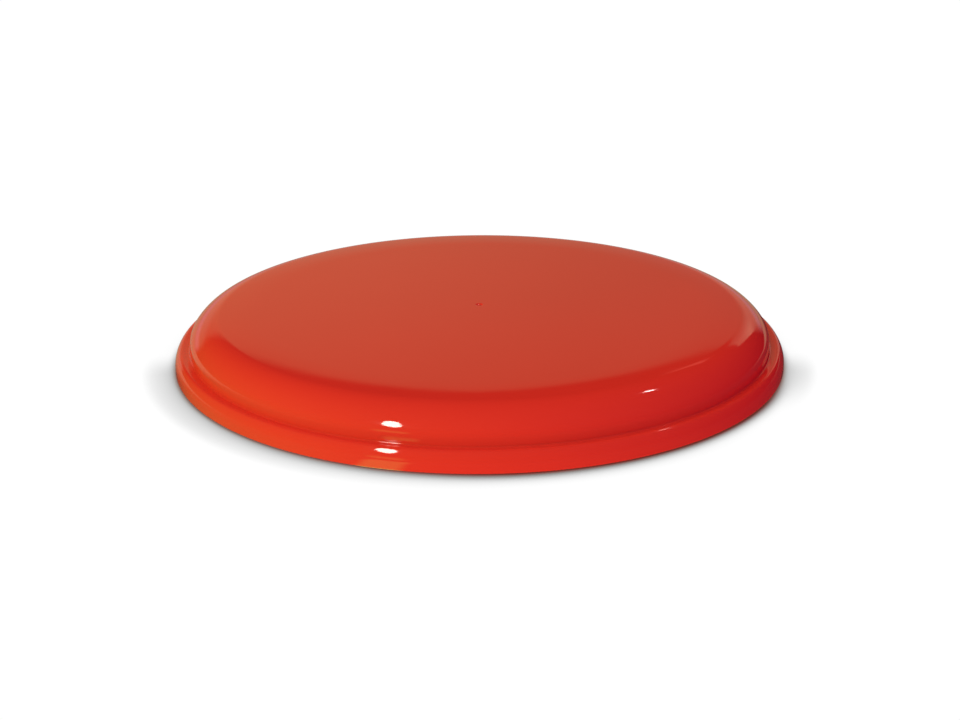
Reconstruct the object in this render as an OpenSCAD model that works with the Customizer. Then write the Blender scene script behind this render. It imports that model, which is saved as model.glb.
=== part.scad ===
// Flying disc, one injection moulding in polypropylene, lying plate up.
// Origin on the disc axis, at the height of the surface it rests on. +Z is up. Millimetres.

/* [Overall size] */
// Outside diameter of the grip rim
outer_d = 220; // [212:1:240]
// Height from the resting edge to the top of the flight plate
height = 18.1; // [17:0.1:24]

/* [Wall] */
// Thickness of the flight plate, shoulder, wall and ledge
wall_t = 1.8; // [1.4:0.1:2.2]
// Thickness of the grip rim
rim_t = 2.6; // [2.2:0.1:3.2]

/* [Flight plate] */
// Radius of the flat part of the plate
flat_r = 80; // [70:1:85]
// Tilt at which the plate's shallow crown meets the shoulder
crown_tilt = 2.5; // [1:0.5:4]

/* [Shoulder] */
// Radius of the upper shoulder arc, next to the crown
shoulder_r1 = 13.3; // [11:0.1:14]
// Radius of the lower shoulder arc, next to the wall
shoulder_r2 = 5.8; // [4.5:0.1:7]
// Tilt at which the two shoulder arcs meet
shoulder_split = 54; // [40:1:65]
// Lean of the wall from the vertical
wall_lean = 3; // [1:0.5:6]

/* [Grip rim] */
// Height of the crest of the grip rim
rim_h = 6.9; // [6:0.1:8]
// Distance from the outside of the rim to the foot of the wall
ledge_w = 5.4; // [5:0.1:7]
// Rise of the ledge towards the crest of the rim, in degrees
ledge_rise = 9; // [0:1:12]
// Radius of the groove between the wall and the ledge
groove_r = 0.6; // [0.4:0.1:1]
// Radius over the crest of the rim
rim_r1 = 1.5; // [1:0.1:2]
// Radius of the outside of the rim below the crest
rim_r2 = 6.5; // [4:0.5:7]
// Tilt at which those two radii meet
rim_split = 50; // [40:1:60]
// Radius of the outer resting edge
foot_r = 0.7; // [0.4:0.1:0.9]
// Radius of the inner resting edge
foot_ri = 0.5; // [0.3:0.1:0.7]
// Mould draft of the rim's two faces, in degrees
draft = 1.5; // [0.5:0.5:3]
// Radius inside the rim, under the ledge
inner_r = 0.8; // [0.5:0.1:1]

/* [Gate mark] */
// Diameter of the shallow dimple at the centre of the plate
gate_d = 2.6; // [2:0.1:5]
// Depth of that dimple
gate_depth = 0.35; // [0.2:0.05:0.6]
// Diameter of the gate's vestige inside the dimple
gate_pip_d = 1; // [0.6:0.1:1]

/* [Hidden] */
R = outer_d / 2;
// Largest turn between two points of an arc, in degrees
turn = 3;

// Unit normal in the (radius, height) plane at a tilt from the disc axis
function n(t) = [sin(t), cos(t)];
// Point where two lines cross, each given by a point and its normal's tilt
function cross2(p, tp, q, tq) =
    let (a = n(tp), b = n(tq), d = a[0] * b[1] - a[1] * b[0],
         u = a * p, v = b * q)
    [(u * b[1] - v * a[1]) / d, (v * a[0] - u * b[0]) / d];

// Tilts of the main surfaces
wall_tilt = 90 - wall_lean;
band_tilt = 90 - draft;
ledge_tilt = -ledge_rise;

// Outer resting edge and the foot of the rim's outside face
foot_c = [R - foot_r, foot_r];
band_p = foot_c + foot_r * n(band_tilt);
// Centre of the rim's outside radius, and of the smaller radius over its crest
rim_c2 = cross2(band_p - rim_r2 * n(band_tilt), band_tilt,
                [0, rim_h - rim_r1 - (rim_r2 - rim_r1) * cos(rim_split)], 0);
rim_c1 = rim_c2 + (rim_r2 - rim_r1) * n(rim_split);
ledge_out = rim_c1 + rim_r1 * n(ledge_tilt);

// Corner where the wall's line meets the ledge's line
wall_corner = cross2([R - ledge_w, rim_h], wall_tilt, ledge_out, ledge_tilt);
// Centre of the groove
groove_c = cross2(wall_corner + groove_r * n(wall_tilt), wall_tilt,
                  wall_corner + groove_r * n(ledge_tilt), ledge_tilt);

// Centres of the shoulder arcs: c0 is where c1 would be at height 0, and the
// crown's fall from the flat plate to the shoulder sets the real height
split = shoulder_split;
rise12 = (shoulder_r1 - shoulder_r2) * n(split);
c0 = cross2(wall_corner, wall_tilt, [0, rise12[1] + shoulder_r2 * cos(wall_tilt)], 0)
     - shoulder_r2 * n(wall_tilt) - rise12;
lean = tan(wall_lean);
fall = tan(crown_tilt / 2);
c1_z = (height - shoulder_r1 * cos(crown_tilt)
        - (c0[0] + shoulder_r1 * sin(crown_tilt) - flat_r) * fall) / (1 - lean * fall);
c1 = [c0[0] - lean * c1_z, c1_z];
c2 = c1 + rise12;

// Centre and radius of the crown
crown_end = c1 + shoulder_r1 * n(crown_tilt);
crown_r = (crown_end[0] - flat_r) / sin(crown_tilt);
crown_c = crown_end - crown_r * n(crown_tilt);

// Inside face of the rim, and the two radii on it
in_tilt = -90 - draft;
in_foot_c = [R - rim_t + foot_ri, foot_ri];
in_p = in_foot_c + foot_ri * n(in_tilt);
under_out = ledge_out - wall_t * n(ledge_tilt);
in_c = cross2(in_p + inner_r * n(in_tilt), in_tilt,
              under_out - inner_r * n(ledge_tilt), ledge_tilt);

// Points along an arc about c, from one tilt to another
function arc(c, r, t0, t1) =
    let (k = max(2, ceil(abs(t1 - t0) / turn)))
    [for (i = [0:k]) c + r * n(t0 + (t1 - t0) * i / k)];
// The same arc without its first point, where it goes on from another arc
function arc_on(c, r, t0, t1) =
    let (p = arc(c, r, t0, t1)) [for (i = [1:len(p) - 1]) p[i]];

// Dimple left by the gate, with the vestige that stands in it, from the axis outwards
gate_line = [
    [0, height - 0.45 * gate_depth],
    [gate_pip_d / 2 - 0.1, height - 0.45 * gate_depth],
    [gate_pip_d / 2, height - gate_depth],
    [gate_d / 2 - 0.4, height - gate_depth],
    [gate_d / 2, height]
];

// Outer surface: plate, crown, shoulder, wall, groove, ledge, rim and outer resting edge
outer_line = concat(
    gate_line,
    arc(crown_c, crown_r, 0, crown_tilt),
    arc_on(c1, shoulder_r1, crown_tilt, split),
    arc_on(c2, shoulder_r2, split, wall_tilt),
    arc(groove_c, groove_r, wall_tilt + 180, ledge_tilt + 180),
    arc(rim_c1, rim_r1, ledge_tilt, rim_split),
    arc_on(rim_c2, rim_r2, rim_split, band_tilt),
    arc(foot_c, foot_r, band_tilt, 180)
);

// Inner surface: inner resting edge, inside of the rim, under the ledge, wall, shoulder, plate
inner_line = concat(
    arc(in_foot_c, foot_ri, 180, 360 + in_tilt),
    arc(in_c, inner_r, in_tilt + 180, ledge_tilt),
    arc(groove_c, groove_r + wall_t, ledge_tilt + 180, wall_tilt + 180),
    arc(c2, shoulder_r2 - wall_t, wall_tilt, split),
    arc_on(c1, shoulder_r1 - wall_t, split, crown_tilt),
    arc_on(crown_c, crown_r - wall_t, crown_tilt, 0),
    [[0, height - wall_t]]
);

// Half section of the moulding, from the axis to the rim
module section() {
    polygon(concat(outer_line, inner_line));
}

// The whole moulding, one solid of revolution
module disc() {
    color([0.86, 0.13, 0.06])
        rotate_extrude($fn = 180) section();
}

disc();
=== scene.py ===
import math

import bpy
from mathutils import Matrix, Quaternion, Vector

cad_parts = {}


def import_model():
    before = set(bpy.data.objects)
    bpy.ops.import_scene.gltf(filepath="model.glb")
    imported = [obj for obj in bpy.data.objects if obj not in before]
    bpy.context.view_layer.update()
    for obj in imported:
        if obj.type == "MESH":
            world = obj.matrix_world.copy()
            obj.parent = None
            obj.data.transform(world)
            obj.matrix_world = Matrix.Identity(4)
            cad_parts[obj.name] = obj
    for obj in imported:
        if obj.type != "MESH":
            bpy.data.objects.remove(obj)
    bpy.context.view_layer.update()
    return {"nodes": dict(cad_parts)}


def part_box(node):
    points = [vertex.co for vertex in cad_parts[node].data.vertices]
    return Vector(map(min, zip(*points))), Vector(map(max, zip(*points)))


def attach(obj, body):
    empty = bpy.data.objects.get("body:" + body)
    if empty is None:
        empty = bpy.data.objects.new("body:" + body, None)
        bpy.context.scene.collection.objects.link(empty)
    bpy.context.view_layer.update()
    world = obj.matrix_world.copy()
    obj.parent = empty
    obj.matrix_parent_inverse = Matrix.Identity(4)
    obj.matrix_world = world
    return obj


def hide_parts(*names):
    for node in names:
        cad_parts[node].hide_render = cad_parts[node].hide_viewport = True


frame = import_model()
lo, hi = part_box("disc")
MM = 0.001
R = (hi.x - lo.x) / 2 / MM
H = (hi.z - lo.z) / MM

# ---------------------------------------------------------------------------
# Camera: the photograph's viewing angle
# ---------------------------------------------------------------------------
CAM_E, CAM_ROLL = 0.3517, 0.0048
CAM_TX, CAM_TY, CAM_TZ, CAM_F = -0.0014, 0.0287, 5.30, 1585.4


def make_camera():
    cr, sr = math.cos(CAM_ROLL), math.sin(CAM_ROLL)
    se, ce = math.sin(CAM_E), math.cos(CAM_E)
    x = -CAM_TX * cr - CAM_TY * sr
    w = CAM_TX * sr - CAM_TY * cr
    v = -CAM_TZ
    pos = Vector((x, w * se + v * ce, w * ce - v * se)) * (R * MM)
    right = Vector((cr, -sr * se, -sr * ce))
    up = Vector((sr, cr * se, cr * ce))
    back = Vector((0, -ce, se))
    cam = bpy.data.cameras.new("camera")
    cam.sensor_fit = "HORIZONTAL"
    cam.sensor_width = 36.0
    cam.lens = CAM_F / 960 * 36.0
    cam.clip_start, cam.clip_end = 0.01, 60
    o = bpy.data.objects.new("camera", cam)
    o.matrix_world = Matrix((
        (right.x, up.x, back.x, pos.x),
        (right.y, up.y, back.y, pos.y),
        (right.z, up.z, back.z, pos.z),
        (0, 0, 0, 1)))
    bpy.context.scene.collection.objects.link(o)
    bpy.context.scene.camera = o
    return o


camera = make_camera()

# ---------------------------------------------------------------------------
# Section of the moulding, in millimetres: the same rules as the CAD section
# ---------------------------------------------------------------------------
WALL_T, RIM_T = 1.8, 2.6
FLAT_R, CROWN = 80.0, 2.5
SH_R1, SH_R2, SPLIT, LEAN = 13.3, 5.8, 54.0, 3.0
RIM_H, LEDGE_W, LEDGE_RISE = 6.9, 5.4, 9.0
GROOVE_R, RIM_R1, RIM_R2, RIM_SPLIT = 0.6, 1.5, 6.5, 50.0
FOOT_R, FOOT_RI, DRAFT, INNER_R = 0.7, 0.5, 1.5, 0.8
GATE_D, GATE_DEPTH, PIP_D = 2.6, 0.35, 1.0


def n(t):
    a = math.radians(t)
    return Vector((math.sin(a), math.cos(a)))


def cross2(p, tp, q, tq):
    a, b = n(tp), n(tq)
    d = a[0] * b[1] - a[1] * b[0]
    u, v = a.dot(p), b.dot(q)
    return Vector(((u * b[1] - v * a[1]) / d, (v * a[0] - u * b[0]) / d))


def arc(c, r, t0, t1, step, skip=False):
    k = max(3, math.ceil(abs(t1 - t0) / step))
    return [c + r * n(t0 + (t1 - t0) * i / k) for i in range(1 if skip else 0, k + 1)]


def line(a, b, parts):
    return [a.lerp(b, i / parts) for i in range(1, parts)]


def section():
    """Outline from the axis at the top, round the rim, to the axis underneath."""
    wt, bt, lt, it = 90 - LEAN, 90 - DRAFT, -LEDGE_RISE, -90 - DRAFT
    foot_c = Vector((R - FOOT_R, FOOT_R))
    band_p = foot_c + FOOT_R * n(bt)
    rim_c2 = cross2(band_p - RIM_R2 * n(bt), bt,
                    Vector((0, RIM_H - RIM_R1 - (RIM_R2 - RIM_R1) * n(RIM_SPLIT)[1])), 0)
    rim_c1 = rim_c2 + (RIM_R2 - RIM_R1) * n(RIM_SPLIT)
    ledge_out = rim_c1 + RIM_R1 * n(lt)
    wall_corner = cross2(Vector((R - LEDGE_W, RIM_H)), wt, ledge_out, lt)
    groove_c = cross2(wall_corner + GROOVE_R * n(wt), wt, wall_corner + GROOVE_R * n(lt), lt)
    rise12 = (SH_R1 - SH_R2) * n(SPLIT)
    c0 = cross2(wall_corner, wt, Vector((0, rise12[1] + SH_R2 * n(wt)[1])), 0) - SH_R2 * n(wt) - rise12
    lean, fall = math.tan(math.radians(LEAN)), math.tan(math.radians(CROWN / 2))
    c1_z = (H - SH_R1 * n(CROWN)[1] - (c0[0] + SH_R1 * n(CROWN)[0] - FLAT_R) * fall) / (1 - lean * fall)
    c1 = Vector((c0[0] - lean * c1_z, c1_z))
    c2 = c1 + rise12
    crown_end = c1 + SH_R1 * n(CROWN)
    crown_r = (crown_end[0] - FLAT_R) / n(CROWN)[0]
    crown_c = crown_end - crown_r * n(CROWN)
    in_foot_c = Vector((R - RIM_T + FOOT_RI, FOOT_RI))
    in_p = in_foot_c + FOOT_RI * n(it)
    under_out = ledge_out - WALL_T * n(lt)
    in_c = cross2(in_p + INNER_R * n(it), it, under_out - INNER_R * n(lt), lt)

    # gate dimple with its vestige, every corner softened by a close pair of rings
    g0, g1, gd = PIP_D / 2, GATE_D / 2, GATE_DEPTH
    pts = [Vector((r, H - d * gd)) for r, d in (
        (0, 0.45), (0.35 * g0, 0.45), (0.7 * g0, 0.45), (g0 - 0.06, 0.47), (g0, 0.60), (g0 + 0.05, 0.9),
        (g0 + 0.12, 1.0), (g1 - 0.55, 1.0), (g1 - 0.30, 0.86), (g1 - 0.10, 0.35), (g1, 0.06), (g1 + 0.12, 0.0),
        (g1 + 0.5, 0.0))]
    pts += [Vector((r, H)) for r in (3.0, 5.0, 9.0, 15.0, 22.0, 30.0, 38.0, 46.0, 54.0, 62.0, 69.0, 75.0, 78.0, 79.4)]
    pts += arc(crown_c, crown_r, 0, CROWN, 0.1)
    pts += arc(c1, SH_R1, CROWN, SPLIT, 1.5, True)
    pts += arc(c2, SH_R2, SPLIT, wt, 2.0, True)
    g = arc(groove_c, GROOVE_R, wt + 180, lt + 180, 5.0)
    pts += line(pts[-1], g[0], 5) + g
    rr = arc(rim_c1, RIM_R1, lt, RIM_SPLIT, 3.0)
    pts += line(g[-1], rr[0], 4) + rr
    pts += arc(rim_c2, RIM_R2, RIM_SPLIT, bt, 2.0, True)
    ff = arc(foot_c, FOOT_R, bt, 180, 6.0)
    pts += line(pts[-1], ff[0], 4) + ff
    fi = arc(in_foot_c, FOOT_RI, 180, 360 + it, 8.0)
    pts += line(ff[-1], fi[0], 3) + fi
    ir = arc(in_c, INNER_R, it + 180, lt, 8.0)
    pts += line(fi[-1], ir[0], 4) + ir
    gi = arc(groove_c, GROOVE_R + WALL_T, lt + 180, wt + 180, 4.0)
    pts += line(ir[-1], gi[0], 2) + gi
    a2 = arc(c2, SH_R2 - WALL_T, wt, SPLIT, 3.0)
    pts += line(gi[-1], a2[0], 3) + a2
    pts += arc(c1, SH_R1 - WALL_T, SPLIT, CROWN, 2.0, True)
    pts += arc(crown_c, crown_r - WALL_T, CROWN, 0, 0.25, True)
    z = H - WALL_T
    pts += [Vector((r, z)) for r in (79, 76, 70, 63, 54, 45, 36, 27, 19, 12, 7, 3, 0)]
    return pts


def lathe(name, pts, turns):
    """A closed surface of revolution, all quads but for the two caps at the axis."""
    verts, faces = [], []
    rings = []
    for p in pts:
        if p[0] < 1e-6:
            rings.append([len(verts)])
            verts.append((0.0, 0.0, p[1] * MM))
        else:
            start = len(verts)
            for i in range(turns):
                a = 2 * math.pi * i / turns
                verts.append((p[0] * MM * math.cos(a), p[0] * MM * math.sin(a), p[1] * MM))
            rings.append(list(range(start, start + turns)))
    for a, b in zip(rings, rings[1:]):
        for i in range(turns):
            j = (i + 1) % turns
            if len(a) == 1:
                faces.append((a[0], b[i], b[j]))
            elif len(b) == 1:
                faces.append((a[i], b[0], a[j]))
            else:
                faces.append((a[i], b[i], b[j], a[j]))
    me = bpy.data.meshes.new(name)
    me.from_pydata(verts, [], faces)
    me.validate()
    for p in me.polygons:
        p.use_smooth = True
    me.update()
    o = bpy.data.objects.new(name, me)
    bpy.context.scene.collection.objects.link(o)
    return o


disc = lathe("disc_moulding", section(), 512)


# ---------------------------------------------------------------------------
# Material: glossy orange-red polypropylene
# ---------------------------------------------------------------------------
def plastic():
    m = bpy.data.materials.new("red_polypropylene")
    m.use_nodes = True
    nt = m.node_tree
    nt.nodes.clear()
    out = nt.nodes.new("ShaderNodeOutputMaterial")
    b = nt.nodes.new("ShaderNodeBsdfPrincipled")
    nt.links.new(b.outputs["BSDF"], out.inputs["Surface"])
    co = nt.nodes.new("ShaderNodeTexCoord")

    def noise(scale, detail, rough=0.5):
        t = nt.nodes.new("ShaderNodeTexNoise")
        t.inputs["Scale"].default_value = scale
        t.inputs["Detail"].default_value = detail
        t.inputs["Roughness"].default_value = rough
        nt.links.new(co.outputs["Object"], t.inputs["Vector"])
        return t

    def ranged(src, lo_, hi_, a=0.3, b_=0.7):
        r = nt.nodes.new("ShaderNodeMapRange")
        r.inputs["From Min"].default_value, r.inputs["From Max"].default_value = a, b_
        r.inputs["To Min"].default_value, r.inputs["To Max"].default_value = lo_, hi_
        nt.links.new(src, r.inputs["Value"])
        return r

    # pigment: very slight flow variation
    flow = noise(22.0, 3.0)
    mix = nt.nodes.new("ShaderNodeMix")
    mix.data_type = "RGBA"
    mix.inputs["A"].default_value = (0.780, 0.0390, 0.0170, 1)
    mix.inputs["B"].default_value = (0.820, 0.0420, 0.0185, 1)
    nt.links.new(flow.outputs["Fac"], mix.inputs["Factor"])
    nt.links.new(mix.outputs["Result"], b.inputs["Base Color"])
    # gloss: fine unevenness in the polish
    cloud = noise(60.0, 4.0, 0.6)
    rg = ranged(cloud.outputs["Fac"], 0.035, 0.060)
    nt.links.new(rg.outputs["Result"], b.inputs["Roughness"])
    b.inputs["IOR"].default_value = 1.49
    # moulded surface: faint waviness and orange peel
    wave = noise(55.0, 2.0)
    peel = noise(900.0, 2.0)
    bump1 = nt.nodes.new("ShaderNodeBump")
    bump1.inputs["Strength"].default_value = 0.10
    bump1.inputs["Distance"].default_value = 0.00012
    nt.links.new(wave.outputs["Fac"], bump1.inputs["Height"])
    bump2 = nt.nodes.new("ShaderNodeBump")
    bump2.inputs["Strength"].default_value = 0.06
    bump2.inputs["Distance"].default_value = 0.00002
    nt.links.new(peel.outputs["Fac"], bump2.inputs["Height"])
    nt.links.new(bump1.outputs["Normal"], bump2.inputs["Normal"])
    nt.links.new(bump2.outputs["Normal"], b.inputs["Normal"])
    return m


red = plastic()
disc.data.materials.append(red)
cad = frame["nodes"]["disc"]
cad.data.materials.clear()
cad.data.materials.append(red)
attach(disc, "root")
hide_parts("disc")


# ---------------------------------------------------------------------------
# Floor and studio
# ---------------------------------------------------------------------------
def new_nodes(owner):
    owner.use_nodes = True
    owner.node_tree.nodes.clear()
    return owner.node_tree


def ranged(nt, src, a, b, c, d, kind="SMOOTHSTEP"):
    r = nt.nodes.new("ShaderNodeMapRange")
    r.interpolation_type = kind
    r.inputs["From Min"].default_value, r.inputs["From Max"].default_value = a, b
    r.inputs["To Min"].default_value, r.inputs["To Max"].default_value = c, d
    nt.links.new(src, r.inputs["Value"])
    return r.outputs["Result"]


def maths(nt, op, a, b):
    r = nt.nodes.new("ShaderNodeMath")
    r.operation = op
    for k, x in enumerate((a, b)):
        if isinstance(x, (int, float)):
            r.inputs[k].default_value = x
        else:
            nt.links.new(x, r.inputs[k])
    return r.outputs[0]


def mixed(nt, fac, a, b):
    r = nt.nodes.new("ShaderNodeMix")
    r.data_type = "RGBA"
    r.clamp_factor = True
    nt.links.new(fac, r.inputs["Factor"])
    for k, x in (("A", a), ("B", b)):
        if isinstance(x, tuple):
            r.inputs[k].default_value = (*x, 1)
        else:
            nt.links.new(x, r.inputs[k])
    return r.outputs["Result"]


def ramp(nt, src, lo_, hi_, stops):
    """Colours along a value that runs from lo_ to hi_."""
    f = ranged(nt, src, lo_, hi_, 0.0, 1.0, "LINEAR")
    r = nt.nodes.new("ShaderNodeValToRGB")
    el = r.color_ramp.elements
    while len(el) < len(stops):
        el.new(0.5)
    for e, (x, c) in zip(el, stops):
        e.position = (x - lo_) / (hi_ - lo_)
        e.color = (*c, 1)
    nt.links.new(f, r.inputs["Fac"])
    return r.outputs["Color"]


def lobes(nt, vec, rows):
    """Sum of soft squared-cosine lobes, each (direction, colour), over a unit vector."""
    acc = None
    for d, c in rows:
        dot = nt.nodes.new("ShaderNodeVectorMath")
        dot.operation = "DOT_PRODUCT"
        nt.links.new(vec, dot.inputs[0])
        dot.inputs[1].default_value = d
        w = maths(nt, "POWER", maths(nt, "MAXIMUM", dot.outputs["Value"], 0.0), 2.0)
        v = nt.nodes.new("ShaderNodeVectorMath")
        v.operation = "SCALE"
        v.inputs[0].default_value = c
        nt.links.new(w, v.inputs["Scale"])
        if acc is None:
            acc = v.outputs[0]
        else:
            add = nt.nodes.new("ShaderNodeVectorMath")
            add.operation = "ADD"
            nt.links.new(v.outputs[0], add.inputs[0])
            nt.links.new(acc, add.inputs[1])
            acc = add.outputs[0]
    return acc


def towards(az, el):
    """Unit vector at azimuth az (0 = towards the camera, positive to the right) and elevation el."""
    a, e = math.radians(az), math.radians(el)
    return (math.sin(a) * math.cos(e), -math.cos(a) * math.cos(e), math.sin(e))


# Pale floor: a glowing white sweep with a painted shadow that darkens where ambient occlusion finds the disc close by,
# darkest in front on the right, away from the key light, with a wider, paler halo at the sides, and a painted red
# bounce at the foot of the rim. Each ramp runs from a shut-in point of the floor to an open one.
SHADE_RANGE = 0.0125
GREY = lambda v: (v, v, v)
SHADE_FRONT = ((0.50, (0.150, 0.030, 0.020)), (0.57, (0.200, 0.045, 0.035)), (0.615, (0.240, 0.100, 0.085)),
               (0.668, (0.225, 0.155, 0.140)), (0.71, (0.255, 0.230, 0.220)), (0.745, (0.320, 0.315, 0.305)),
               (0.797, (0.470, 0.465, 0.465)), (0.835, GREY(0.63)), (0.863, GREY(0.75)), (0.885, GREY(0.83)),
               (0.915, GREY(0.91)), (0.94, GREY(0.98)), (1.0, GREY(1.02)))
SHADE_RIGHT = ((0.50, (0.120, 0.030, 0.020)), (0.57, (0.160, 0.045, 0.040)), (0.615, (0.210, 0.100, 0.095)),
               (0.668, (0.285, 0.215, 0.210)), (0.71, (0.380, 0.350, 0.345)), (0.745, (0.500, 0.485, 0.480)),
               (0.797, GREY(0.71)), (0.835, GREY(0.86)), (0.863, GREY(0.94)), (0.885, GREY(0.98)),
               (0.915, GREY(1.0)), (1.0, GREY(1.02)))
SHADE_SIDE = ((0.50, (0.220, 0.150, 0.130)), (0.57, (0.330, 0.260, 0.240)), (0.615, (0.400, 0.350, 0.330)),
              (0.668, (0.470, 0.470, 0.460)), (0.71, (0.550, 0.555, 0.555)), (0.745, GREY(0.60)),
              (0.797, GREY(0.66)), (0.835, GREY(0.70)), (0.863, GREY(0.73)), (0.885, GREY(0.76)),
              (0.915, GREY(0.79)), (0.94, GREY(0.83)), (0.97, GREY(0.92)), (1.0, GREY(1.01)))
SHADE_BACK = ((0.50, (0.20, 0.17, 0.16)), (0.57, (0.30, 0.27, 0.26)), (0.615, (0.42, 0.40, 0.40)),
              (0.71, GREY(0.72)), (0.797, GREY(0.97)), (1.0, GREY(1.02)))
# Floor light that the plastic scatters, by the side of the disc it comes from
FLOOR_FILL = ((towards(-90, 0), (0.50, 3.90, 1.40)), (towards(0, 0), (1.12, 0.67, 0.76)),
              (towards(90, 0), (0.63, 0.0, 0.32)), (towards(180, 0), (0.64, 0.28, 0.48)))

fm = bpy.data.materials.new("floor_white")
nt = new_nodes(fm)
out = nt.nodes.new("ShaderNodeOutputMaterial")
em = nt.nodes.new("ShaderNodeEmission")
co = nt.nodes.new("ShaderNodeTexCoord")
unit = nt.nodes.new("ShaderNodeVectorMath")
unit.operation = "NORMALIZE"
nt.links.new(co.outputs["Object"], unit.inputs[0])
sep = nt.nodes.new("ShaderNodeSeparateXYZ")
nt.links.new(unit.outputs[0], sep.inputs[0])
# which side of the disc: degrees from the front, positive to the right
round_ = maths(nt, "MULTIPLY", maths(nt, "ARCTAN2", sep.outputs["X"], maths(nt, "MULTIPLY", sep.outputs["Y"], -1.0)),
               180 / math.pi)
# painted contact shadow: ambient occlusion picks the floor's shade from the ramps above, blended by side of the disc
ao = nt.nodes.new("ShaderNodeAmbientOcclusion")
ao.samples = 32
ao.inputs["Distance"].default_value = SHADE_RANGE
SIDE, FRONT, RIGHT, BACK = (ramp(nt, ao.outputs["AO"], 0.5, 1.0, k)
                            for k in (SHADE_SIDE, SHADE_FRONT, SHADE_RIGHT, SHADE_BACK))
shade = mixed(nt, ranged(nt, round_, -55, 5, 0.0, 1.0, "LINEAR"), SIDE, FRONT)
shade = mixed(nt, ranged(nt, round_, 8, 52, 0.0, 1.0, "LINEAR"), shade, RIGHT)
shade = mixed(nt, ranged(nt, round_, 58, 78, 0.0, 1.0), shade, SIDE)
shade = mixed(nt, ranged(nt, maths(nt, "ABSOLUTE", round_, 0.0), 78, 90, 0.0, 1.0), shade, BACK)
# the gloss mirrors a pale strip of floor on the left and behind the disc, and a patch of the
# key's glare on the floor just in front of the rim
strip = maths(nt, "MAXIMUM", ranged(nt, round_, -94, -74, 1.0, 0.0), ranged(nt, round_, 114, 130, 0.0, 1.0))
away = nt.nodes.new("ShaderNodeVectorMath")
away.operation = "LENGTH"
nt.links.new(co.outputs["Object"], away.inputs[0])
glare = maths(nt, "MULTIPLY", ranged(nt, maths(nt, "ABSOLUTE", maths(nt, "ADD", round_, 16.6), 0.0), 2.4, 4.8, 1.0, 0.0),
              ranged(nt, away.outputs["Value"], 0.127, 0.135, 1.0, 0.0))
lp = nt.nodes.new("ShaderNodeLightPath")
gloss = mixed(nt, strip, (0.03, 0.03, 0.03), (0.36, 0.34, 0.22))
gloss = mixed(nt, glare, gloss, (0.70, 1.50, 0.36))
seen = mixed(nt, lp.outputs["Is Glossy Ray"], shade, gloss)
fill = mixed(nt, lp.outputs["Is Diffuse Ray"], seen, lobes(nt, unit.outputs[0], FLOOR_FILL))
nt.links.new(fill, em.inputs["Color"])
nt.links.new(em.outputs[0], out.inputs["Surface"])

me = bpy.data.meshes.new("floor")
S = 12.0
me.from_pydata([(-S, -S, 0), (S, -S, 0), (S, S, 0), (-S, S, 0)], [], [(0, 1, 2, 3)])
floor = bpy.data.objects.new("floor", me)
floor.location.z = -0.00002
me.materials.append(fm)
bpy.context.scene.collection.objects.link(floor)

scene = bpy.context.scene
scene.view_settings.view_transform = "Standard"
scene.view_settings.look = "None"
scene.view_settings.exposure = 0.0
scene.view_settings.gamma = 1.0

# Light that the plastic scatters, as soft lobes: warm from the front left, cooler and weaker
# from the right, some from behind and above
KEY_AZ, KEY_EL = -37.1, 40.7
SCATTER = ((towards(-60, 30), (1.60, 2.11, 1.20)), (towards(60, 30), (0.20, 0.0, 1.09)),
           (towards(180, 30), (0.22, 0.0, 0.0)), (towards(0, 90), (0.46, 0.0, 0.25)))
# Light that the gloss mirrors: a pale sweep standing behind the disc, dark elsewhere. By
# azimuth from straight behind, positive to the right: its top edge and the softness of that
# edge in degrees, then its colour high up and low down.
SWEEP_TOP = ((-45, 6.0, 3.5), (-40, 9.5, 3.5), (-36, 12.0, 3.5), (-32, 15.0, 3.5), (-28, 18.0, 3.0), (-24, 20.0, 2.6),
             (-18, 21.2, 2.0), (-12, 21.4, 1.2), (-7, 23.0, 1.0), (0, 24.0, 1.0), (5, 22.6, 0.8), (10, 21.4, 0.7),
             (13, 21.3, 0.8), (16, 23.2, 0.9), (19, 25.0, 0.8), (28, 25.0, 0.6))
SWEEP_HIGH = ((-32, (0.05, 0.16, 0.08)), (-24, (0.20, 0.25, 0.13)), (-14, (0.40, 0.36, 0.17)), (-4, (0.32, 0.31, 0.16)),
              (4, (0.10, 0.24, 0.13)), (11, (0.01, 0.20, 0.12)), (15, (0.02, 0.21, 0.12)), (20, (0.30, 0.37, 0.24)),
              (24, (0.65, 0.56, 0.36)), (30, (0.80, 0.62, 0.40)))
SWEEP_LOW = ((-40, (0.10, 0.22, 0.12)), (-24, (0.30, 0.38, 0.24)), (-14, (0.50, 0.48, 0.28)), (-5, (0.28, 0.42, 0.25)),
             (4, (0.18, 0.33, 0.20)), (8, (0.20, 0.29, 0.20)), (13, (0.42, 0.38, 0.25)), (24, (0.45, 0.34, 0.22)),
             (32, (0.40, 0.26, 0.17)))


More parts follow.
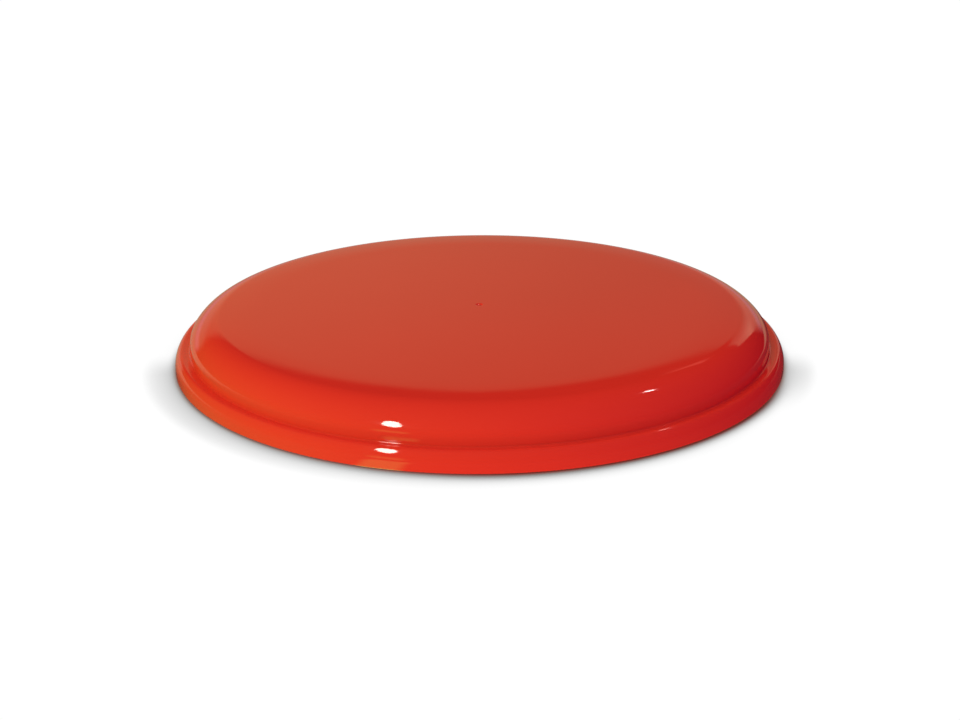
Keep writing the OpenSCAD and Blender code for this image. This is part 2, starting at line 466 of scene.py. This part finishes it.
def world():
    w = bpy.data.worlds.new("studio")
    scene.world = w
    nt = new_nodes(w)
    out = nt.nodes.new("ShaderNodeOutputWorld")
    lp = nt.nodes.new("ShaderNodeLightPath")
    tc = nt.nodes.new("ShaderNodeTexCoord")
    sep = nt.nodes.new("ShaderNodeSeparateXYZ")
    nt.links.new(tc.outputs["Generated"], sep.inputs["Vector"])
    X, Y, Z = (sep.outputs[k] for k in "XYZ")

    # scattered light
    scattered = nt.nodes.new("ShaderNodeBackground")
    nt.links.new(lobes(nt, tc.outputs["Generated"], SCATTER), scattered.inputs["Color"])

    # mirrored light: azimuth from straight behind, positive to the right, and elevation, in degrees
    az = maths(nt, "MULTIPLY", maths(nt, "ARCTAN2", X, Y), 180 / math.pi)
    el = maths(nt, "MULTIPLY", maths(nt, "ARCSINE", Z, 0), 180 / math.pi)
    edge = nt.nodes.new("ShaderNodeSeparateColor")
    nt.links.new(ramp(nt, az, -45, 45, [(a, (t / 32, s_ / 8, 0)) for a, t, s_ in SWEEP_TOP]), edge.inputs[0])
    above = maths(nt, "SUBTRACT", el, maths(nt, "MULTIPLY", edge.outputs[0], 32.0))
    above = maths(nt, "DIVIDE", above, maths(nt, "MULTIPLY", edge.outputs[1], 8.0))
    top_edge = ranged(nt, above, -1.0, 1.0, 1.0, 0.0)
    spread = ranged(nt, el, 9.0, 14.0, 3.5, 0.7)
    right = ranged(nt, maths(nt, "DIVIDE", maths(nt, "SUBTRACT", az, 28.9), spread), -1.0, 1.0, 1.0, 0.0)
    left = ranged(nt, az, -42.0, -36.0, 0.0, 1.0)
    foot = ranged(nt, el, -3.0, 4.0, 0.5, 1.0)
    mask = maths(nt, "MULTIPLY", maths(nt, "MULTIPLY", top_edge, right), maths(nt, "MULTIPLY", left, foot))
    bright = mixed(nt, ranged(nt, el, 11.0, 17.0, 0.0, 1.0),
                   ramp(nt, az, -45, 45, SWEEP_LOW), ramp(nt, az, -45, 45, SWEEP_HIGH))
    bright = mixed(nt, ranged(nt, el, 17.0, 24.0, 0.0, 0.32), bright, (0.10, 0.02, 0.0))
    bright = mixed(nt, ranged(nt, el, 4.5, 8.5, 1.0, 0.0), bright, (0.46, 0.43, 0.41))
    glare = maths(nt, "MULTIPLY",
                  ranged(nt, maths(nt, "ABSOLUTE", maths(nt, "ADD", az, 147.5), 0.0), 4.0, 8.5, 1.0, 0.0),
                  ranged(nt, el, 6.0, 14.0, 1.0, 0.0))
    dark = mixed(nt, glare, (0.0, 0.0, 0.0), (0.50, 1.05, 0.22))
    # a faint line of light just above the sweep, behind on the right
    off = maths(nt, "SUBTRACT", el, maths(nt, "ADD", maths(nt, "MULTIPLY", az, 0.63), 18.4))
    line_ = maths(nt, "MULTIPLY", ranged(nt, maths(nt, "ABSOLUTE", off, 0.0), 0.2, 1.3, 1.0, 0.0),
                  maths(nt, "MULTIPLY", ranged(nt, az, 8.2, 10.6, 0.0, 1.0), ranged(nt, az, 15.5, 18.0, 1.0, 0.0)))
    dark = mixed(nt, line_, dark, (0.90, 0.24, 0.17))
    mirrored_c = mixed(nt, mask, dark, bright)
    mirrored = nt.nodes.new("ShaderNodeBackground")
    nt.links.new(mirrored_c, mirrored.inputs["Color"])

    backdrop = nt.nodes.new("ShaderNodeBackground")
    backdrop.inputs["Color"].default_value = (1, 1, 1, 1)
    m1 = nt.nodes.new("ShaderNodeMixShader")
    nt.links.new(lp.outputs["Is Glossy Ray"], m1.inputs["Fac"])
    nt.links.new(scattered.outputs[0], m1.inputs[1])
    nt.links.new(mirrored.outputs[0], m1.inputs[2])
    m2 = nt.nodes.new("ShaderNodeMixShader")
    nt.links.new(lp.outputs["Is Camera Ray"], m2.inputs["Fac"])
    nt.links.new(m1.outputs[0], m2.inputs[1])
    nt.links.new(backdrop.outputs[0], m2.inputs[2])
    nt.links.new(m2.outputs[0], out.inputs["Surface"])


world()


def area(name, az, el, dist, w, h, power, color=(1, 1, 1), lean=0.0, target=(0, 0, 0.01)):
    """Area light seen from the disc at azimuth az (0 = towards the camera, positive to the right) and elevation el."""
    L = bpy.data.lights.new(name, "AREA")
    L.shape = "ELLIPSE"
    L.size, L.size_y = w, h
    L.energy = power
    L.color = color
    o = bpy.data.objects.new(name, L)
    a, e = math.radians(az), math.radians(el)
    d = Vector((math.sin(a) * math.cos(e), -math.cos(a) * math.cos(e), math.sin(e)))
    o.location = Vector(target) + d * dist
    o.rotation_mode = "QUATERNION"
    o.rotation_quaternion = d.to_track_quat("Z", "Y") @ Quaternion((0, 0, 1), math.radians(lean))
    o.visible_diffuse = False
    o.visible_camera = False
    bpy.context.scene.collection.objects.link(o)
    return o


# The key and a small lamp behind on the right show only as highlights: the light they scatter
# is part of the lobes above
area("key", KEY_AZ, KEY_EL, 1.6, 0.176, 0.640, 8.0, (1.0, 0.95, 0.84), 17.0)
area("lamp", 130.0, 53.3, 1.6, 0.100, 0.070, 0.42, (1.0, 0.80, 0.78))
